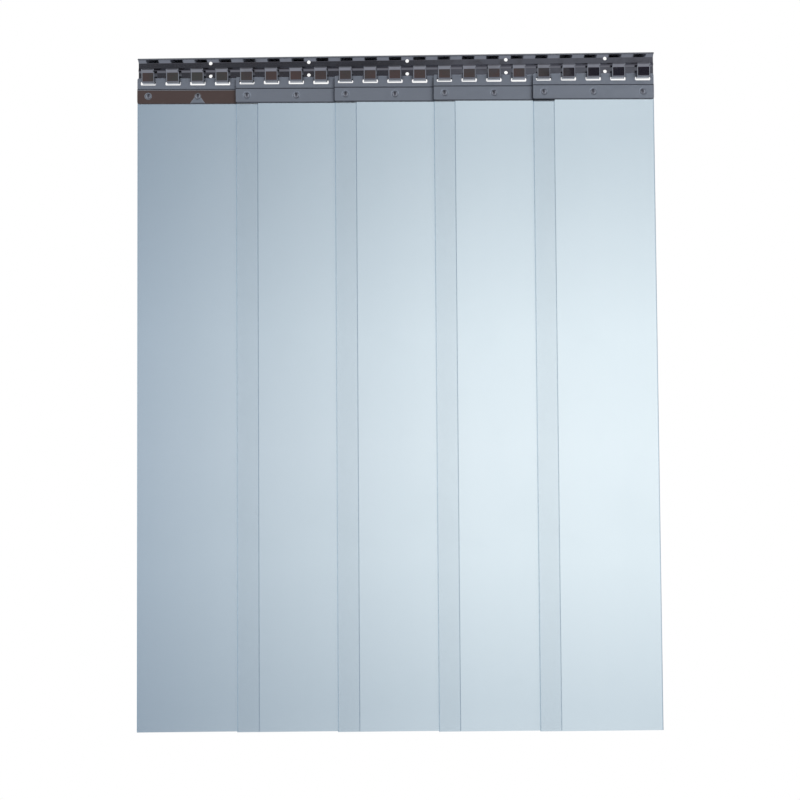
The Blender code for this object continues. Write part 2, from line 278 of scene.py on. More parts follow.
def skin(bm, near, far, closed=False):
    """Faces between two neighbouring rows of vertices."""
    count = len(near) if closed else len(near) - 1
    for index in range(count):
        following = (index + 1) % len(near)
        bm.faces.new((near[index], near[following], far[following], far[index]))


def solid_mesh(name, bm):
    """The finished faces as a mesh, with their normals outwards."""
    bmesh.ops.recalc_face_normals(bm, faces=bm.faces)
    mesh = bpy.data.meshes.new(name)
    bm.to_mesh(mesh)
    bm.free()
    return mesh


def rail_pitch_mesh():
    """One pitch of the rail: a length of flange with its hook, and faces where it is cut off."""
    flange = sheet_sides(flange_path(), RAIL_SHEET)
    hook = sheet_sides(hook_path(), RAIL_SHEET)
    columns = [-HOOK_PITCH / 2, -HOOK_WIDTH / 2, HOOK_WIDTH / 2, HOOK_PITCH / 2]
    bm = bmesh.new()
    faces = []
    for pairs, xs in ((flange, columns), (hook, columns[1:3])):
        faces.append([[[bm.verts.new((x, p.x, p.y)) for x in xs] for p in side]
                      for side in zip(*pairs)])
    (flange_back, flange_front), (hook_outer, hook_inner) = faces
    for rows in (flange_back, flange_front, hook_outer, hook_inner):
        for upper, lower in zip(rows, rows[1:]):
            skin(bm, upper, lower)
    skin(bm, flange_back[0], flange_front[0])
    skin(bm, flange_back[-1][:2], flange_front[-1][:2])
    skin(bm, flange_back[-1][2:], flange_front[-1][2:])
    skin(bm, hook_outer[-1], hook_inner[-1])
    for row in range(len(hook) - 1):
        for side in (0, -1):
            bm.faces.new((hook_outer[row][side], hook_outer[row + 1][side],
                          hook_inner[row + 1][side], hook_inner[row][side]))
    for row in range(len(flange) - 1):
        for side in (0, -1):
            bm.faces.new((flange_back[row][side], flange_back[row + 1][side],
                          flange_front[row + 1][side], flange_front[row][side]))
    rounded = [bm.edges.get((hook_outer[-1][side], hook_inner[-1][side])) for side in (0, -1)]
    rounded.append(bm.edges.get((hook_outer[-1][0], hook_outer[-1][-1])))
    for row in range(BEND_STEPS + 1, len(hook) - 1):
        for side in (0, -1):
            rounded.append(bm.edges.get((hook_outer[row][side], hook_outer[row + 1][side])))
    bmesh.ops.bevel(bm, geom=rounded, offset=HOOK_EDGE_RADIUS, segments=EDGE_SEGMENTS, profile=0.5,
                    affect="EDGES")
    bmesh.ops.remove_doubles(bm, verts=bm.verts, dist=WELD)
    at_cut = [abs(abs(face.calc_center_median().x) - HOOK_PITCH / 2) < WELD for face in bm.faces]
    mesh = solid_mesh("rail_pitch", bm)
    mesh.attributes.new("cut_end", "BOOLEAN", "FACE").data.foreach_set("value", at_cut)
    return mesh


def comb_rail_tree(sizes, material):
    """Repeats one pitch along the rail, trims its ends, and punches the screw holes."""
    tree, given = shape_tree("comb_rail", sizes)
    row = point_row(tree, given["Hook count"], given["Hook pitch"])
    comb = repeated(tree, row, given["Geometry"])
    place = node(tree, "GeometryNodeInputPosition").outputs[0]
    x, y, z = node(tree, "ShaderNodeSeparateXYZ", {0: place}).outputs
    inner = maths(tree, "LESS_THAN", maths(tree, "ABSOLUTE", x), given["Half length"])
    cut = node(tree, "GeometryNodeInputNamedAttribute", {"Name": "cut_end"}, data_type="BOOLEAN")
    joint = node(tree, "FunctionNodeBooleanMath", {0: cut.outputs["Attribute"], 1: inner},
                 operation="AND").outputs[0]
    opened = node(tree, "GeometryNodeDeleteGeometry", {"Geometry": comb, "Selection": joint},
                  domain="FACE", mode="ONLY_FACE").outputs[0]
    left_end = maths(tree, "MULTIPLY", given["Half length"], -1.0)
    kept = node(tree, "ShaderNodeClamp", {"Value": x, "Min": left_end,
                                          "Max": given["Half length"]}).outputs[0]
    inside = node(tree, "ShaderNodeCombineXYZ", {"X": kept, "Y": y, "Z": z}).outputs[0]
    trimmed = node(tree, "GeometryNodeSetPosition", {"Geometry": welded(tree, opened),
                                                     "Position": inside}).outputs[0]
    lower = maths(tree, "MULTIPLY", given["Hole row spacing"], -1.0)
    rows = joined(tree, *[point_row(tree, given["Hole count"], given["Hole step"], level)
                          for level in (0.0, lower)])
    beside = maths(tree, "MULTIPLY", given["Hook pitch"], 0.5)
    shift = node(tree, "ShaderNodeCombineXYZ", {"X": beside}).outputs[0]
    drills = round_tools(tree, moved(tree, rows, Translation=shift), given["Hole radius"],
                         DRILL_LENGTH)
    end_tree(tree, cut_away(tree, trimmed, drills), material)
    return tree


def effect_group(name, inputs, outputs):
    """An empty shader group with named inputs and their usual values, and named outputs."""
    tree = bpy.data.node_groups.new(name, "ShaderNodeTree")
    for label, value in inputs.items():
        kind = "NodeSocketVector" if isinstance(value, tuple) else "NodeSocketFloat"
        tree.interface.new_socket(label, in_out="INPUT", socket_type=kind).default_value = value
    for label in outputs:
        kind = "NodeSocketVector" if label == "Normal" else "NodeSocketFloat"
        tree.interface.new_socket(label, in_out="OUTPUT", socket_type=kind)
    return tree, tree.nodes.new("NodeGroupInput").outputs, tree.nodes.new("NodeGroupOutput")


def noise(tree, place, scale, detail, distortion=0.0):
    return node(tree, "ShaderNodeTexNoise", {"Vector": place, "Scale": scale, "Detail": detail,
                                             "Distortion": distortion}).outputs["Fac"]


def rescaled(tree, value, start, end, low=0.0, high=1.0):
    """A value that goes from low to high, and no further, as another goes from start to end."""
    return node(tree, "ShaderNodeMapRange", {"Value": value, "From Min": start, "From Max": end,
                                             "To Min": low, "To Max": high}).outputs[0]


def grain_group():
    """Fine lines that polishing or rolling leaves along X, and slow changes between areas."""
    tree, given, out = effect_group("steel_grain", {"Position": (0.0, 0.0, 0.0), "Lines": 4000.0,
                                                    "Stretch": 0.006, "Patches": 18.0},
                                    ("Line", "Patch"))
    squeeze = node(tree, "ShaderNodeCombineXYZ", {"X": given["Stretch"], "Y": 1.0, "Z": 1.0})
    squeezed = node(tree, "ShaderNodeVectorMath", {0: given["Position"], 1: squeeze.outputs[0]},
                    operation="MULTIPLY").outputs[0]
    feed(tree, out, {"Line": noise(tree, squeezed, given["Lines"], 3.0),
                     "Patch": noise(tree, given["Position"], given["Patches"], 4.0)})
    return tree


def edge_wear_group():
    """A mask that is 1 on the rounded and handled edges of a piece, broken up by noise."""
    tree, given, out = effect_group("edge_wear", {"Position": (0.0, 0.0, 0.0), "Width": 0.0006,
                                                  "Breaks": 220.0}, ("Edge",))
    round_normal = node(tree, "ShaderNodeBevel", {"Radius": given["Width"]}, samples=4)
    true_normal = node(tree, "ShaderNodeNewGeometry").outputs["Normal"]
    same = node(tree, "ShaderNodeVectorMath", {0: round_normal.outputs[0], 1: true_normal},
                operation="DOT_PRODUCT").outputs["Value"]
    turned = rescaled(tree, same, 0.999, 0.9)
    broken = rescaled(tree, noise(tree, given["Position"], given["Breaks"], 2.0), 0.35, 0.6)
    feed(tree, out, {"Edge": maths(tree, "MULTIPLY", turned, broken)})
    return tree


def smudge_group():
    """Faint smears of handling and dust."""
    tree, given, out = effect_group("smudges", {"Position": (0.0, 0.0, 0.0), "Scale": 30.0},
                                    ("Mask",))
    broad = noise(tree, given["Position"], given["Scale"], 5.0, distortion=0.6)
    feed(tree, out, {"Mask": rescaled(tree, broad, 0.5, 0.72)})
    return tree


STEEL_GRAIN = grain_group()
EDGE_WEAR = edge_wear_group()
SMUDGES = smudge_group()


def new_finish(name):
    """A material with its shader, and the piece's own coordinates."""
    material = bpy.data.materials.new(name)
    material.use_nodes = True
    tree = material.node_tree
    place = node(tree, "ShaderNodeTexCoord").outputs["Object"]
    return material, tree, tree.nodes["Principled BSDF"], place


def effect(tree, group, inputs):
    return node(tree, "ShaderNodeGroup", inputs, node_tree=group).outputs


def mix_colour(tree, amount, plain, other):
    """A colour between two others, which are sockets or red, green and blue values."""
    ends = [colour if isinstance(colour, bpy.types.NodeSocket) else (*colour, 1.0)
            for colour in (plain, other)]
    mixed = node(tree, "ShaderNodeMix", {0: amount, 6: ends[0], 7: ends[1]}, data_type="RGBA")
    return mixed.outputs[2]


def spread_value(tree, mask, low, high):
    """A mask from 0 to 1 turned into a value from low to high."""
    return rescaled(tree, mask, 0.0, 1.0, low, high)


def polished_steel():
    """Mirror-like steel, faintly lined and smeared. The hem's front face is left dull and dark."""
    material, tree, shader, place = new_finish("polished_stainless")
    grain = effect(tree, STEEL_GRAIN, {"Position": place, "Lines": 2600.0, "Stretch": 0.01,
                                       "Patches": 14.0})
    wear = effect(tree, EDGE_WEAR, {"Position": place, "Width": 0.0004})["Edge"]
    smears = effect(tree, SMUDGES, {"Position": place, "Scale": 40.0})["Mask"]
    depth, height = node(tree, "ShaderNodeSeparateXYZ", {0: place}).outputs[1:]
    at_front = maths(tree, "LESS_THAN", depth, HEM_FACE_DEPTH - RETURN_DEPTH)
    hem_front = maths(tree, "MULTIPLY", at_front, maths(tree, "GREATER_THAN", height, 0.0))
    toned = mix_colour(tree, grain["Patch"], (0.50, 0.51, 0.54), (0.62, 0.62, 0.64))
    dulled = mix_colour(tree, spread_value(tree, smears, 0.0, 0.35), toned, (0.42, 0.41, 0.40))
    worn = mix_colour(tree, spread_value(tree, wear, 0.0, 0.6), dulled, (0.80, 0.81, 0.83))
    lined = maths(tree, "ADD", spread_value(tree, grain["Line"], 0.05, 0.12),
                  spread_value(tree, smears, 0.0, 0.10))
    relief = node(tree, "ShaderNodeBump", {"Height": grain["Line"], "Strength": 0.06,
                                           "Distance": 0.0002})
    feed(tree, shader, {
        "Base Color": mix_colour(tree, hem_front, worn, (0.105, 0.11, 0.125)),
        "Metallic": spread_value(tree, hem_front, 1.0, 0.15),
        "Roughness": maths(tree, "ADD", lined, spread_value(tree, hem_front, 0.0, 0.45)),
        "Normal": relief.outputs[0],
    })
    return material


rail_finish = polished_steel()
rail_sizes = {
    "Hook count": HOOK_COUNT,
    "Hook pitch": HOOK_PITCH,
    "Half length": RAIL_HALF_LENGTH,
    "Hole count": STRIP_COUNT,
    "Hole step": STRIP_STEP,
    "Hole row spacing": HOLE_ROW_SPACING,
    "Hole radius": SCREW_HOLE_RADIUS,
}
rail_mesh = shaped_mesh("comb_rail", rail_pitch_mesh(), comb_rail_tree, rail_finish, rail_sizes)
comb_rail = finished_piece("comb_rail", rail_mesh)
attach(comb_rail, "rail")
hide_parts("hook_rail")


# Hanger plates. Thin brushed stainless, blanked, pierced with a window for each hook, then
# pressed: a joggle makes room for the strip and three dimples key through it. Two alike stand
# back to back round each strip's end, and the bar over their windows drops over the hooks.

HANGER_Y = -0.006002
SEAT_Z = -0.0321
HANGER_STAGGER = 0.0047
HANGER_YAW = math.asin(HANGER_STAGGER / STRIP_STEP)
PLATE_SHEET = 0.0008
BAR_PLANE = -0.00055
BAND_PLANE = -0.0017
PLATE_TOP = 0.0055
JOGGLE_TOP = -0.0127
JOGGLE_END = -0.0147
PLATE_FOOT = -0.0375
PLATE_CORNER = 0.003
WINDOW_WIDTH = 0.0254
WINDOW_HEIGHT = 0.0064
WINDOW_CORNER = 0.0018
DIMPLE_LEVEL = -0.0250
DIMPLE_RADIUS = 0.0070
DIMPLE_FLOOR_RADIUS = 0.0046
DIMPLE_PITCH = HOOKS_PER_STEP / 2 * HOOK_PITCH
DIMPLE_COUNT = 3
RIVET_RADIUS = 0.0025
RIVET_PLAY = 0.0001
FINE_REACH = 0.0085
FINE_STEP = 0.0007
COARSE_STEP_ACROSS = 0.0035
COARSE_STEP_UP = 0.0024
TOOL_LENGTH = 0.02
CORNER_STEPS = 6
PLATE_SHARP_ANGLE = math.radians(40)


def hanger_place(number, turn=0.0):
    """Where a hanger's own frame stands in the curtain. Its origin is on the seat of its bar."""
    x = (number - (STRIP_COUNT + 1) / 2) * STRIP_STEP
    return Matrix.Translation((x, HANGER_Y, SEAT_Z)) @ Matrix.Rotation(HANGER_YAW + turn, 4, "Z")


def eased(share):
    share = min(max(share, 0.0), 1.0)
    return share * share * (3 - 2 * share)


def plate_depth(x, z):
    """Height of the plate's middle plane over a hanger's own x and z."""
    joggle = eased((JOGGLE_TOP - z) / (JOGGLE_TOP - JOGGLE_END))
    nearest = round(x / DIMPLE_PITCH) * DIMPLE_PITCH
    radius = math.hypot(x - nearest, z - DIMPLE_LEVEL)
    press = eased((DIMPLE_RADIUS - radius) / (DIMPLE_RADIUS - DIMPLE_FLOOR_RADIUS))
    return BAR_PLANE + (BAND_PLANE - BAR_PLANE) * joggle * (1 - press)


def graded_lines(start, end, coarse_step, fine_places=()):
    """Grid lines from start to end that stand closer together near the fine places."""
    lines = [start]
    while lines[-1] < end:
        near = any(abs(lines[-1] + FINE_STEP / 2 - place) < FINE_REACH for place in fine_places)
        lines.append(lines[-1] + (FINE_STEP if near else coarse_step))
    lines[-1] = end
    return lines


def plate_blank():
    """A rectangle of sheet, already pressed, with fine faces at its dimples and its joggle."""
    half = STRIP_WIDTH / 2
    xs = graded_lines(-half, half, COARSE_STEP_ACROSS, (-DIMPLE_PITCH, 0.0, DIMPLE_PITCH))
    zs = graded_lines(PLATE_FOOT, PLATE_TOP, COARSE_STEP_UP,
                      (DIMPLE_LEVEL, (JOGGLE_TOP + JOGGLE_END) / 2))
    bm = bmesh.new()
    outlines = []
    for side in (-PLATE_SHEET / 2, PLATE_SHEET / 2):
        rows = [[bm.verts.new((x, plate_depth(x, z) + side, z)) for x in xs] for z in zs]
        for upper, lower in zip(rows, rows[1:]):
            skin(bm, upper, lower)
        outlines.append(rows[0] + [row[-1] for row in rows[1:-1]] + rows[-1][::-1]
                        + [row[0] for row in rows[-2:0:-1]])
    skin(bm, *outlines, closed=True)
    return solid_mesh("plate_blank", bm)


def rounded_block(tree, width, height, radius):
    """A block with rounded corners that stands across Y, centred on the origin."""
    outline = node(tree, "GeometryNodeCurvePrimitiveQuadrilateral", {"Width": width,
                                                                     "Height": height})
    rounded = node(tree, "GeometryNodeFilletCurve",
                   {"Curve": outline.outputs[0], "Radius": radius, "Count": CORNER_STEPS},
                   mode="POLY").outputs[0]
    face = node(tree, "GeometryNodeFillCurve", {"Curve": rounded}, mode="NGONS").outputs[0]
    block = node(tree, "GeometryNodeExtrudeMesh", {"Mesh": face, "Offset Scale": TOOL_LENGTH,
                                                   "Individual": False}).outputs["Mesh"]
    back = node(tree, "GeometryNodeFlipFaces", {"Mesh": face}).outputs[0]
    closed = welded(tree, joined(tree, block, back))
    centred = moved(tree, closed, Translation=(0, 0, -TOOL_LENGTH / 2))
    return moved(tree, centred, Rotation=(math.pi / 2, 0, 0))


def hanger_plate_tree(sizes, material):
    """Trims the blank to its round-cornered outline and pierces its windows and rivet holes."""
    tree, given = shape_tree("hanger_plate", sizes)
    outline = rounded_block(tree, given["Width"], given["Height"], given["Corner"])
    middle = node(tree, "ShaderNodeCombineXYZ", {"Z": given["Middle level"]}).outputs[0]
    trimmed = node(tree, "GeometryNodeMeshBoolean", operation="INTERSECT", solver="EXACT")
    for part in (given["Geometry"], moved(tree, outline, Translation=middle)):
        tree.links.new(part, trimmed.inputs["Mesh 2"])
    window = rounded_block(tree, given["Window width"], given["Window height"],
                           given["Window corner"])
    row = point_row(tree, given["Window count"], given["Window pitch"], given["Window level"])
    pierced = cut_away(tree, trimmed.outputs["Mesh"], repeated(tree, row, window))
    dimples = point_row(tree, given["Dimple count"], given["Dimple pitch"], given["Dimple level"])
    drills = round_tools(tree, dimples, given["Rivet hole"], TOOL_LENGTH)
    end_tree(tree, cut_away(tree, pierced, drills), material)
    return tree


REFLECTION_EDGE = 0.0008
GAP_EDGE = 0.0006
LEFT_GAP_RADIUS = 0.0054
MIDDLE_GAP_RADIUS = 0.0046
WEDGE_HALF_WIDTH = 0.003
WEDGE_SLOPE = 0.75
CREASE_SHADE_REACH = 0.0011
CREASE_SHADE_CORE = 0.0006
FOOT_SHADE_REACH = 0.0018
FOOT_SHADE_CORE = 0.0010
PLATE_METALLIC = 0.93


def painted_brown_reflection(tree, place):
    """1 where a painted brown reflection lies on the left hanger's band, standing in for a brown
    thing that the steel would mirror. It stops round the rivets, and in a wedge below the middle
    one."""
    x, _, z = node(tree, "ShaderNodeSeparateXYZ", {0: place}).outputs
    painted_reflection = rescaled(tree, z, SEAT_Z + JOGGLE_END, SEAT_Z + JOGGLE_END - REFLECTION_EDGE)
    below = maths(tree, "SUBTRACT", SEAT_Z + DIMPLE_LEVEL, z)
    middle = (1 - (STRIP_COUNT + 1) / 2) * STRIP_STEP
    for rivet_x, gap_radius in ((middle - DIMPLE_PITCH, LEFT_GAP_RADIUS), (middle, MIDDLE_GAP_RADIUS)):
        beside = maths(tree, "SUBTRACT", x, rivet_x)
        away = node(tree, "ShaderNodeCombineXYZ", {"X": beside, "Z": below}).outputs[0]
        far = node(tree, "ShaderNodeVectorMath", {0: away}, operation="LENGTH").outputs["Value"]
        painted_reflection = maths(tree, "MULTIPLY", painted_reflection, rescaled(tree, far, gap_radius, gap_radius + GAP_EDGE))
    wedge = maths(tree, "MULTIPLY_ADD", below, WEDGE_SLOPE, WEDGE_HALF_WIDTH)
    outside = maths(tree, "SUBTRACT", maths(tree, "ABSOLUTE", beside), wedge)
    return maths(tree, "MULTIPLY", painted_reflection, rescaled(tree, outside, 0.0, REFLECTION_EDGE))


def brushed_steel(name, painted_reflection=False):
    """Brushed steel with painted shade in its crease, along its foot and in corners, and, when
    asked, a painted brown reflection.
    """
    material, tree, shader, place = new_finish(name)
    grain = effect(tree, STEEL_GRAIN, {"Position": place, "Lines": 2200.0, "Stretch": 0.004,
                                       "Patches": 22.0})
    wear = effect(tree, EDGE_WEAR, {"Position": place, "Width": 0.0005})["Edge"]
    smears = effect(tree, SMUDGES, {"Position": place, "Scale": 26.0})["Mask"]
    lined = mix_colour(tree, grain["Line"], (0.53, 0.57, 0.63), (0.64, 0.69, 0.75))
    toned = mix_colour(tree, spread_value(tree, grain["Patch"], 0.0, 0.5), lined,
                       (0.57, 0.61, 0.67))
    dulled = mix_colour(tree, spread_value(tree, smears, 0.0, 0.3), toned, (0.46, 0.49, 0.54))
    level = node(tree, "ShaderNodeSeparateXYZ", {0: place}).outputs["Z"]
    # Painted shade: the colour darkens at the joggle's crease, along the foot, and where ambient
    # occlusion finds corners where shade falls.
    off_crease = maths(tree, "SUBTRACT", level, SEAT_Z + (JOGGLE_TOP + JOGGLE_END) / 2)
    crease = rescaled(tree, maths(tree, "ABSOLUTE", off_crease), CREASE_SHADE_REACH,
                      CREASE_SHADE_CORE, high=0.9)
    foot = rescaled(tree, level, SEAT_Z + PLATE_FOOT + FOOT_SHADE_REACH,
                    SEAT_Z + PLATE_FOOT + FOOT_SHADE_CORE, high=0.6)
    open_air = node(tree, "ShaderNodeAmbientOcclusion", {"Distance": 0.009}, samples=6)
    corner = rescaled(tree, open_air.outputs["AO"], 0.85, 0.5)
    painted_shade = maths(tree, "MAXIMUM", maths(tree, "MAXIMUM", crease, foot), corner)
    shaded_colour = mix_colour(tree, painted_shade, dulled, (0.08, 0.08, 0.10))
    colour = mix_colour(tree, spread_value(tree, wear, 0.0, 0.5), shaded_colour, (0.74, 0.76, 0.80))
    rough = maths(tree, "ADD", spread_value(tree, grain["Line"], 0.46, 0.58),
                  spread_value(tree, smears, 0.0, 0.08))
    metallic = PLATE_METALLIC
    # Painted reflection: on the left hanger's front band a brown colour stands in for a brown thing
    # that the steel would mirror.
    if painted_reflection:
        reflected = painted_brown_reflection(tree, place)
        reflected_colour = mix_colour(tree, grain["Line"], (0.050, 0.034, 0.031), (0.072, 0.049, 0.045))
        colour = mix_colour(tree, reflected, colour, reflected_colour)
        rough = maths(tree, "SUBTRACT", rough, spread_value(tree, reflected, 0.0, 0.2))
        metallic = spread_value(tree, reflected, PLATE_METALLIC, 0.1)
    relief = node(tree, "ShaderNodeBump", {"Height": grain["Line"], "Strength": 0.10,
                                           "Distance": 0.0003})
    feed(tree, shader, {"Base Color": colour, "Metallic": metallic, "Roughness": rough,
                        "Normal": relief.outputs[0]})
    return material


plate_finish = brushed_steel("brushed_stainless")
painted_reflection_finish = brushed_steel("brushed_stainless_with_painted_reflection", painted_reflection=True)
plate_sizes = {
    "Width": STRIP_WIDTH - 2 * WELD,
    "Height": PLATE_TOP - PLATE_FOOT - 2 * WELD,
    "Corner": PLATE_CORNER,
    "Middle level": (PLATE_TOP + PLATE_FOOT) / 2,
    "Window count": HOOKS_PER_STEP + 1,
    "Window pitch": HOOK_PITCH,
    "Window level": -WINDOW_HEIGHT / 2,
    "Window width": WINDOW_WIDTH,
    "Window height": WINDOW_HEIGHT,
    "Window corner": WINDOW_CORNER,
    "Dimple count": DIMPLE_COUNT,
    "Dimple pitch": DIMPLE_PITCH,
    "Dimple level": DIMPLE_LEVEL,
    "Rivet hole": RIVET_RADIUS + RIVET_PLAY,
}
plate_mesh = shaped_mesh("hanger_plate", plate_blank(), hanger_plate_tree, plate_finish,
                         plate_sizes)
for number in range(1, STRIP_COUNT + 1):
    for side, turn in (("front", 0.0), ("back", math.pi)):
        mesh = plate_mesh.copy()
        mesh.transform(hanger_place(number, turn))
        # The left hanger's front plate takes the finish with the painted brown reflection.
        if (number, side) == (1, "front"):
            for index in range(len(mesh.materials)):
                mesh.materials[index] = painted_reflection_finish
        plate = finished_piece(f"hanger_plate_{number}_{side}", mesh, PLATE_SHARP_ANGLE)
        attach(plate, f"hanger_{number}")
        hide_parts(f"{side}_plate_{number}")


# Rivets. Stainless blind rivets: three go through the dimples of each pair of plates. The low
# domed head in front shows the hole that the pulled mandrel leaves. The one behind is set lower,
# so the left neighbour's head clears it where two hangers overlap.

RIVET_HEAD_RADIUS = 0.0042
RIVET_SEAT = 0.00097
FRONT_TOP = 0.0026
FRONT_RISE = 0.0012
BACK_TOP = 0.0019
BACK_RISE = 0.0006
RIVET_EDGE = 0.0001
DOME_STEPS = 7
MANDREL_HOLE_RADIUS = 0.0011
MANDREL_HOLE_DEPTH = 0.0012
RIVET_SIDES = 36


def tube_mesh(name, rings):
    """A solid through rings of points, with a flat face on its first and its last ring."""
    bm = bmesh.new()
    rows = [[bm.verts.new(point) for point in ring] for ring in rings]
    for near, far in zip(rows, rows[1:]):
        skin(bm, near, far, closed=True)
    bm.faces.new(rows[0])
    bm.faces.new(rows[-1])
    return solid_mesh(name, bm)


def rivet_half(top, rise):
    """Outline of one head, from the shank to its mandrel hole, as (height, radius)."""
    half = [(RIVET_SEAT, RIVET_RADIUS), (RIVET_SEAT, RIVET_HEAD_RADIUS - RIVET_EDGE),
            (RIVET_SEAT + 2 * RIVET_EDGE, RIVET_HEAD_RADIUS)]
    for step in range(DOME_STEPS + 1):
        share = step / DOME_STEPS
        reach = RIVET_HEAD_RADIUS + (MANDREL_HOLE_RADIUS - RIVET_HEAD_RADIUS) * share
        half.append((top - rise * (1 - math.sin(share * math.pi / 2)), reach))
    return half + [(top - 2 * RIVET_EDGE, MANDREL_HOLE_RADIUS - RIVET_EDGE),
                   (top - MANDREL_HOLE_DEPTH, MANDREL_HOLE_RADIUS - 2 * RIVET_EDGE)]


def rivet_blank():
    """One set rivet, turned about Y."""
    front = [(-y, radius) for y, radius in reversed(rivet_half(FRONT_TOP, FRONT_RISE))]
    profile = front + rivet_half(BACK_TOP, BACK_RISE)
    turn = [math.tau * side / RIVET_SIDES for side in range(RIVET_SIDES)]
    return tube_mesh("rivet_blank", [[(radius * math.cos(a), y, radius * math.sin(a)) for a in turn]
                                     for y, radius in profile])


def rivet_row_tree(sizes, material):
    """A rivet in each dimple."""
    tree, given = shape_tree("rivet_row", sizes)
    row = point_row(tree, given["Rivet count"], given["Rivet pitch"], given["Rivet level"])
    end_tree(tree, repeated(tree, row, given["Geometry"]), material)
    return tree


def set_steel():
    """Plain steel, slightly matt from setting."""
    material, tree, shader, place = new_finish("rivet_stainless")
    grain = effect(tree, STEEL_GRAIN, {"Position": place, "Lines": 1500.0, "Stretch": 0.5,
                                       "Patches": 90.0})
    wear = effect(tree, EDGE_WEAR, {"Position": place, "Width": 0.0003})["Edge"]
    smears = effect(tree, SMUDGES, {"Position": place, "Scale": 260.0})["Mask"]
    toned = mix_colour(tree, grain["Patch"], (0.50, 0.51, 0.54), (0.66, 0.67, 0.70))
    dulled = mix_colour(tree, spread_value(tree, smears, 0.0, 0.5), toned, (0.33, 0.33, 0.34))
    colour = mix_colour(tree, spread_value(tree, wear, 0.0, 0.6), dulled, (0.80, 0.81, 0.83))
    relief = node(tree, "ShaderNodeBump", {"Height": grain["Line"], "Strength": 0.15,
                                           "Distance": 0.0002})
    feed(tree, shader, {"Base Color": colour, "Metallic": 1.0, "Normal": relief.outputs[0],
                        "Roughness": spread_value(tree, grain["Line"], 0.22, 0.38)})
    return material


rivet_finish = set_steel()
rivet_sizes = {
    "Rivet count": DIMPLE_COUNT,
    "Rivet pitch": DIMPLE_PITCH,
    "Rivet level": DIMPLE_LEVEL,
}
rivet_mesh = shaped_mesh("rivet_row", rivet_blank(), rivet_row_tree, rivet_finish, rivet_sizes)
for number in range(1, STRIP_COUNT + 1):
    mesh = rivet_mesh.copy()
    mesh.transform(hanger_place(number))
    rivets = finished_piece(f"rivets_{number}", mesh)
    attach(rivets, f"hanger_{number}")
    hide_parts(*[f"rivet_{number}_{side}" for side in ("left", "middle", "right")])


# Strips. Clear, faintly blue PVC, 200 x 2 mm with rounded edges, extruded and cut square at the
# foot. Each one's upper end is punched for the dimples and clamped between its two plates, and
# it hangs from there in front of the edge of its left neighbour.

STRIP_THICKNESS = 0.002
STRIP_TOP = JOGGLE_END - 0.0003
STRIP_FOOT = -1.0709
STRIP_EDGE_RADIUS = 0.0009
EDGE_STEPS = 5
BEND_TOP = PLATE_FOOT
BEND_FOOT = PLATE_FOOT - 0.00365
BESIDE_BEND = 0.001
ROW_STEP = 0.03
DIMPLE_HOLE_RADIUS = 0.00705
EDGE_TINT_FROM = 0.0020
EDGE_TINT_TO = 0.0004
SHADOW_DROP = 0.0010
SHADOW_REACH = 0.0014
SHADOW_CORE = 0.0009


def strip_outline():
    """Points round the strip's cross-section: flat faces and rounded edges."""
    points = []
    for quarter, (side_x, side_y) in enumerate([(1, 1), (-1, 1), (-1, -1), (1, -1)]):
        middle = Vector((side_x * (STRIP_WIDTH / 2 - STRIP_EDGE_RADIUS),
                         side_y * (STRIP_THICKNESS / 2 - STRIP_EDGE_RADIUS)))
        arc = []
        for step in range(EDGE_STEPS + 1):
            angle = math.pi / 2 * (quarter + step / EDGE_STEPS)
            arc.append(middle + STRIP_EDGE_RADIUS * Vector((math.cos(angle), math.sin(angle))))
        inward = Vector((-side_x * STRIP_EDGE_RADIUS / 2, 0))
        points += arc + [arc[-1] + inward] if side_x == side_y else [arc[0] + inward] + arc
    return points


def strip_blank():
    """The whole strip, with a short row of faces where it leaves its plates."""
    levels = graded_lines(STRIP_FOOT, BEND_FOOT - BESIDE_BEND, ROW_STEP)
    levels += [BEND_FOOT, BEND_TOP, BEND_TOP + BESIDE_BEND, STRIP_TOP]
    outline = strip_outline()
    return tube_mesh("strip_blank", [[(p.x, p.y, z) for p in outline] for z in levels])


def punched_strip_tree(sizes, material):
    """Punches the strip where the dimples key through it."""
    tree, given = shape_tree("punched_strip", sizes)
    row = point_row(tree, given["Hole count"], given["Hole pitch"], given["Hole level"])
    punches = round_tools(tree, row, given["Hole radius"], TOOL_LENGTH)
    end_tree(tree, cut_away(tree, given["Geometry"], punches), material)
    return tree


def map_along_strip(mesh):
    """A map in metres that stays on the strip as it bends: across its width, then along it."""
    layer = mesh.uv_layers.new(name="along_strip")
    for loop in mesh.loops:
        place = mesh.vertices[loop.vertex_index].co
        layer.data[loop.index].uv = (place.x + STRIP_WIDTH / 2, place.z - STRIP_FOOT)


def painted_shadow_line(tree, place, along):
    """1 on a painted shadow just under the plates, in the last overlap only."""
    off_line = maths(tree, "SUBTRACT", along, PLATE_FOOT - STRIP_FOOT - SHADOW_DROP)
    under_plate = rescaled(tree, maths(tree, "ABSOLUTE", off_line), SHADOW_REACH, SHADOW_CORE)
    x = node(tree, "ShaderNodeSeparateXYZ", {0: place}).outputs["X"]
    overlap_start = (STRIP_COUNT - 1) / 2 * STRIP_STEP - STRIP_WIDTH / 2
    after_start = maths(tree, "GREATER_THAN", x, overlap_start)
    before_end = maths(tree, "LESS_THAN", x, overlap_start + 2 * PLATE_END)
    return maths(tree, "MULTIPLY", maths(tree, "MULTIPLY", after_start, before_end), under_plate)


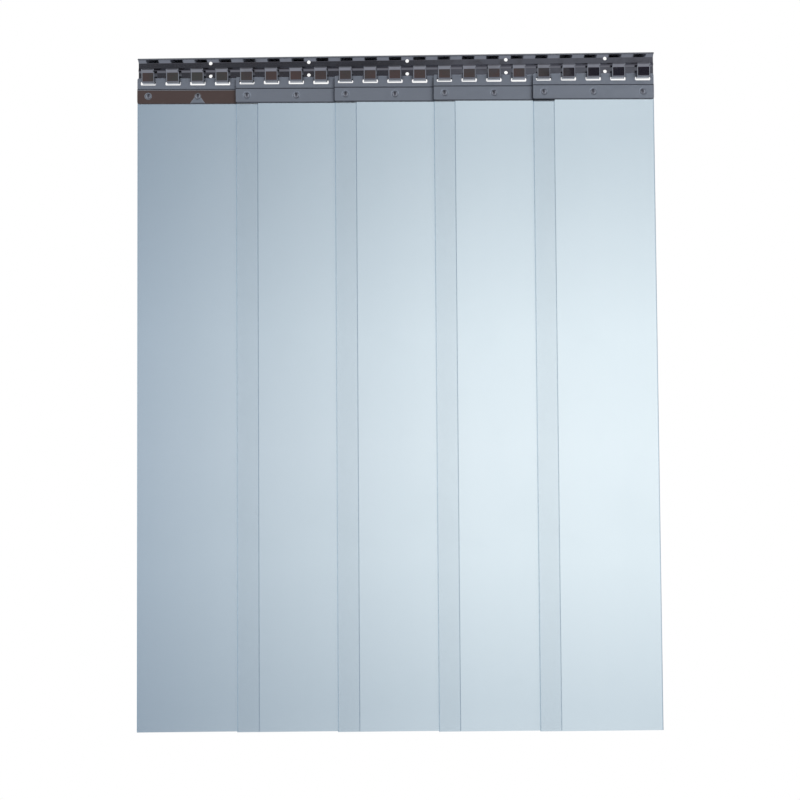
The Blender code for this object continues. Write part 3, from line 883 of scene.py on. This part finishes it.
def clear_pvc():
    """Clear PVC with faint lines along its length, a bluer tint in its thick edges, and a painted
    shadow under the plates.
    """
    material, tree, shader, place = new_finish("clear_pvc")
    flat = node(tree, "ShaderNodeUVMap", uv_map="along_strip").outputs[0]
    across, along, _ = node(tree, "ShaderNodeSeparateXYZ", {0: flat}).outputs
    reach = maths(tree, "ABSOLUTE", maths(tree, "SUBTRACT", across, STRIP_WIDTH / 2))
    edge = rescaled(tree, reach, STRIP_WIDTH / 2 - EDGE_TINT_FROM, STRIP_WIDTH / 2 - EDGE_TINT_TO)
    lengthwise = node(tree, "ShaderNodeMapping", {"Vector": flat, "Scale": (1.0, 0.02, 1.0)})
    flow = noise(tree, lengthwise.outputs[0], 90.0, 3.0)
    smears = effect(tree, SMUDGES, {"Position": flat, "Scale": 9.0})["Mask"]
    toned = mix_colour(tree, flow, (0.945, 0.957, 0.968), (0.965, 0.972, 0.980))
    hazed = mix_colour(tree, spread_value(tree, smears, 0.0, 0.4), toned, (0.925, 0.94, 0.95))
    tinted = mix_colour(tree, spread_value(tree, edge, 0.0, 0.85), hazed, (0.42, 0.52, 0.62))
    # Painted shadow: a dark line just under the plates' foot, in the last overlap.
    painted_shadow = spread_value(tree, painted_shadow_line(tree, place, along), 0.0, 0.85)
    rough = maths(tree, "ADD", spread_value(tree, flow, 0.03, 0.06),
                  spread_value(tree, smears, 0.0, 0.08))
    feed(tree, shader, {"Base Color": mix_colour(tree, painted_shadow, tinted, (0.05, 0.06, 0.09)),
                        "Roughness": rough, "IOR": 1.53, "Transmission Weight": 0.96})
    return material


strip_finish = clear_pvc()
strip_sizes = {
    "Hole count": DIMPLE_COUNT,
    "Hole pitch": DIMPLE_PITCH,
    "Hole level": DIMPLE_LEVEL,
    "Hole radius": DIMPLE_HOLE_RADIUS,
}
strip_mesh = shaped_mesh("punched_strip", strip_blank(), punched_strip_tree, strip_finish,
                         strip_sizes)
map_along_strip(strip_mesh)
for number in range(1, STRIP_COUNT + 1):
    place = hanger_place(number)
    mesh = strip_mesh.copy()
    mesh.transform(place)
    strip = finished_piece(f"pvc_strip_{number}", mesh, rigid=False)
    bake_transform(strip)
    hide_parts(f"strip_{number}_clamped_end", f"strip_{number}")


# The studio. A plain pale floor well below the curtain, white behind it, and a tent of soft
# light that only reflections and clear strips show: pale blue behind the strips, and a dark
# room with shelves and small lamps on the camera's side.

FLOOR_LEVEL = -2.0
FLOOR_SIZE = 60.0
TENT_RADIUS = 40.0
TENT_CENTRE = (0.0, 0.0, -0.55)
CURTAIN_MIDDLE = (0.0, 0.0, -0.5)
PHOTO_PIXELS = 800
FOCAL_PIXELS = 1032.3
SENSOR_WIDTH = 36.0
CAMERA_PLACE = (0.0301, -1.7, -0.6201)
CAMERA_TURN = math.radians(0.864)
CAMERA_TILT = math.radians(90 + 1.876)
CAMERA_ROLL = math.radians(-0.413)


def rays_of(tree, *kinds):
    """1 for rays of these kinds and 0 for all others."""
    path = node(tree, "ShaderNodeLightPath")
    amount = path.outputs[kinds[0]]
    for kind in kinds[1:]:
        amount = maths(tree, "MAXIMUM", amount, path.outputs[kind])
    return amount


def emptied_tree(block):
    block.use_nodes = True
    block.node_tree.nodes.clear()
    return block.node_tree


def studio_world():
    """White where it is seen, and a softer pale blue as light."""
    world = bpy.data.worlds.new("studio")
    bpy.context.scene.world = world
    tree = emptied_tree(world)
    soft = node(tree, "ShaderNodeBackground", {"Color": (0.86, 0.93, 1.0, 1.0), "Strength": 0.75})
    white = node(tree, "ShaderNodeBackground", {"Color": (1.0, 1.0, 1.0, 1.0), "Strength": 1.0})
    seen = rays_of(tree, "Is Camera Ray", "Is Glossy Ray", "Is Transmission Ray")
    mixed = node(tree, "ShaderNodeMixShader", {0: seen, 1: soft.outputs[0], 2: white.outputs[0]})
    node(tree, "ShaderNodeOutputWorld", {"Surface": mixed.outputs[0]})


def studio_floor():
    """The same white where it is seen, and a pale matt floor as light."""
    material = bpy.data.materials.new("studio_floor")
    tree = emptied_tree(material)
    matt = node(tree, "ShaderNodeBsdfDiffuse", {"Color": (0.9, 0.9, 0.9, 1.0)})
    white = node(tree, "ShaderNodeEmission", {"Color": (1.0, 1.0, 1.0, 1.0), "Strength": 1.0})
    seen = rays_of(tree, "Is Camera Ray")
    mixed = node(tree, "ShaderNodeMixShader", {0: seen, 1: matt.outputs[0], 2: white.outputs[0]})
    node(tree, "ShaderNodeOutputMaterial", {"Surface": mixed.outputs[0]})
    bpy.ops.mesh.primitive_plane_add(size=FLOOR_SIZE, location=(0, 0, FLOOR_LEVEL))
    floor = bpy.context.active_object
    floor.name = "studio_floor"
    floor.data.materials.append(material)
    floor.visible_glossy = False
    floor.visible_transmission = False


def ramp(tree, value, stops):
    """A colour that follows a value in straight lines between stops of (place, colour)."""
    made = node(tree, "ShaderNodeValToRGB", {"Fac": value})
    while len(made.color_ramp.elements) < len(stops):
        made.color_ramp.elements.new(1.0)
    for element, (place, colour) in zip(made.color_ramp.elements, stops):
        element.position = place
        element.color = (*colour, 1.0)
    return made.outputs["Color"]


def grey(level):
    return (level, level, level)


def wall_behind(tree, x, z):
    """What shows through the strips: a wall that is bluer on the left and palest half way up."""
    side = ramp(tree, rescaled(tree, x, -0.3, 0.3), [
        (0.05, (0.39, 0.475, 0.56)), (0.28, (0.58, 0.67, 0.735)),
        (0.60, (0.83, 0.925, 0.97)), (0.80, (0.885, 0.98, 1.02))])
    level = ramp(tree, rescaled(tree, z, -0.4, 0.4), [
        (0.17, (0.715, 0.75, 0.785)), (0.34, (0.92, 0.94, 0.955)), (0.48, (0.98, 0.99, 1.0)),
        (0.62, (0.935, 0.955, 0.97)), (0.86, (0.655, 0.695, 0.735))])
    return node(tree, "ShaderNodeMix", {0: 1.0, 6: side, 7: level}, data_type="RGBA",
                blend_type="MULTIPLY").outputs[2]


def room_in_front(tree, way, x, height):
    """What the steel mirrors: a dim room, brown shelves above eye level and faint glints over
    them. It is darkest high up on the left."""
    low_stops = [(0.067, (0.29, 0.31, 0.36)), (0.125, (0.38, 0.39, 0.44)),
                 (0.18, (0.25, 0.26, 0.29)), (0.33, (0.18, 0.18, 0.21)),
                 (0.587, (0.14, 0.14, 0.17))]
    left = ramp(tree, height, low_stops + [(0.655, (0.047, 0.047, 0.054)),
                                           (0.75, (0.028, 0.028, 0.034))])
    right = ramp(tree, height, low_stops + [(0.655, (0.17, 0.175, 0.20)),
                                            (0.75, (0.10, 0.10, 0.12))])
    room = mix_colour(tree, rescaled(tree, x, 0.0, 0.05), left, right)
    glint = rescaled(tree, noise(tree, way, 60.0, 1.0), 0.52, 0.62)
    glint_band = ramp(tree, height, [(0.655, grey(0.0)), (0.665, grey(0.8)), (0.72, grey(0.8)),
                                     (0.75, grey(0.0))])
    glinting = mix_colour(tree, maths(tree, "MULTIPLY", glint, glint_band), room,
                          (0.16, 0.17, 0.20))
    patch = rescaled(tree, noise(tree, way, 30.0, 1.0), 0.42, 0.58)
    shelves = mix_colour(tree, patch, (0.145, 0.085, 0.080), (0.085, 0.095, 0.090))
    shelves = mix_colour(tree, rescaled(tree, x, 0.135, 0.15), shelves, (0.022, 0.020, 0.030))
    shelf_band = ramp(tree, height, [(0.596, grey(0.0)), (0.606, grey(1.0)), (0.642, grey(1.0)),
                                     (0.652, grey(0.0))])
    furnished = mix_colour(tree, shelf_band, glinting, shelves)
    beside = rescaled(tree, maths(tree, "ABSOLUTE", x), 0.38, 0.55)
    return mix_colour(tree, beside, furnished, (0.42, 0.45, 0.50))


def studio_tent():
    material = bpy.data.materials.new("studio_tent")
    tree = emptied_tree(material)
    place = node(tree, "ShaderNodeTexCoord").outputs["Object"]
    way = node(tree, "ShaderNodeVectorMath", {0: place}, operation="NORMALIZE").outputs[0]
    x, y, z = node(tree, "ShaderNodeSeparateXYZ", {0: way}).outputs
    height = rescaled(tree, z, -1.0, 1.0)
    rear = ramp(tree, height, [
        (0.12, (0.12, 0.12, 0.14)), (0.22, (0.30, 0.32, 0.35)), (0.29, (0.52, 0.55, 0.59)),
        (0.40, (0.52, 0.55, 0.59)), (0.50, (0.50, 0.53, 0.57))])
    mirrored = mix_colour(tree, rescaled(tree, y, -0.1, 0.15),
                          room_in_front(tree, way, x, height), rear)
    shown = mix_colour(tree, rays_of(tree, "Is Transmission Ray"), mirrored,
                       wall_behind(tree, x, z))
    light = node(tree, "ShaderNodeEmission", {"Color": shown, "Strength": 1.0})
    node(tree, "ShaderNodeOutputMaterial", {"Surface": light.outputs[0]})
    material.cycles.emission_sampling = "NONE"
    bpy.ops.mesh.primitive_uv_sphere_add(segments=96, ring_count=48, radius=TENT_RADIUS,
                                         location=TENT_CENTRE)
    tent = bpy.context.active_object
    tent.name = "studio_tent"
    tent.data.materials.append(material)
    tent.visible_camera = False
    tent.visible_diffuse = False
    tent.visible_shadow = False


def soft_lamp(name, place, size, power, colour):
    """A square lamp that lights the curtain but shows in no reflection."""
    lamp = bpy.data.lights.new(name, "AREA")
    lamp.size = size
    lamp.energy = power
    lamp.color = colour
    item = bpy.data.objects.new(name, lamp)
    item.location = place
    aim = Vector(CURTAIN_MIDDLE) - Vector(place)
    item.rotation_euler = aim.to_track_quat("-Z", "Y").to_euler()
    item.visible_glossy = False
    item.visible_transmission = False
    bpy.context.collection.objects.link(item)


def photo_camera():
    """The camera stands about level with the middle of the strips and looks slightly up."""
    lens = bpy.data.cameras.new("camera")
    lens.sensor_width = SENSOR_WIDTH
    lens.lens = SENSOR_WIDTH * FOCAL_PIXELS / PHOTO_PIXELS
    lens.clip_start = 0.01
    camera = bpy.data.objects.new("camera", lens)
    turn = Matrix.Rotation(CAMERA_TURN, 4, "Z")
    tilt = Matrix.Rotation(CAMERA_TILT, 4, "X")
    roll = Matrix.Rotation(CAMERA_ROLL, 4, "Z")
    camera.matrix_world = Matrix.Translation(CAMERA_PLACE) @ turn @ tilt @ roll
    bpy.context.collection.objects.link(camera)
    bpy.context.scene.camera = camera


studio_world()
studio_floor()
studio_tent()
soft_lamp("key_softbox", place=(1.6, -2.2, 0.9), size=1.6, power=60.0, colour=(1.0, 0.98, 0.95))
soft_lamp("fill_softbox", place=(-1.9, -1.6, 0.5), size=1.8, power=25.0, colour=(0.92, 0.96, 1.0))
photo_camera()
bpy.context.scene.view_settings.view_transform = "Standard"
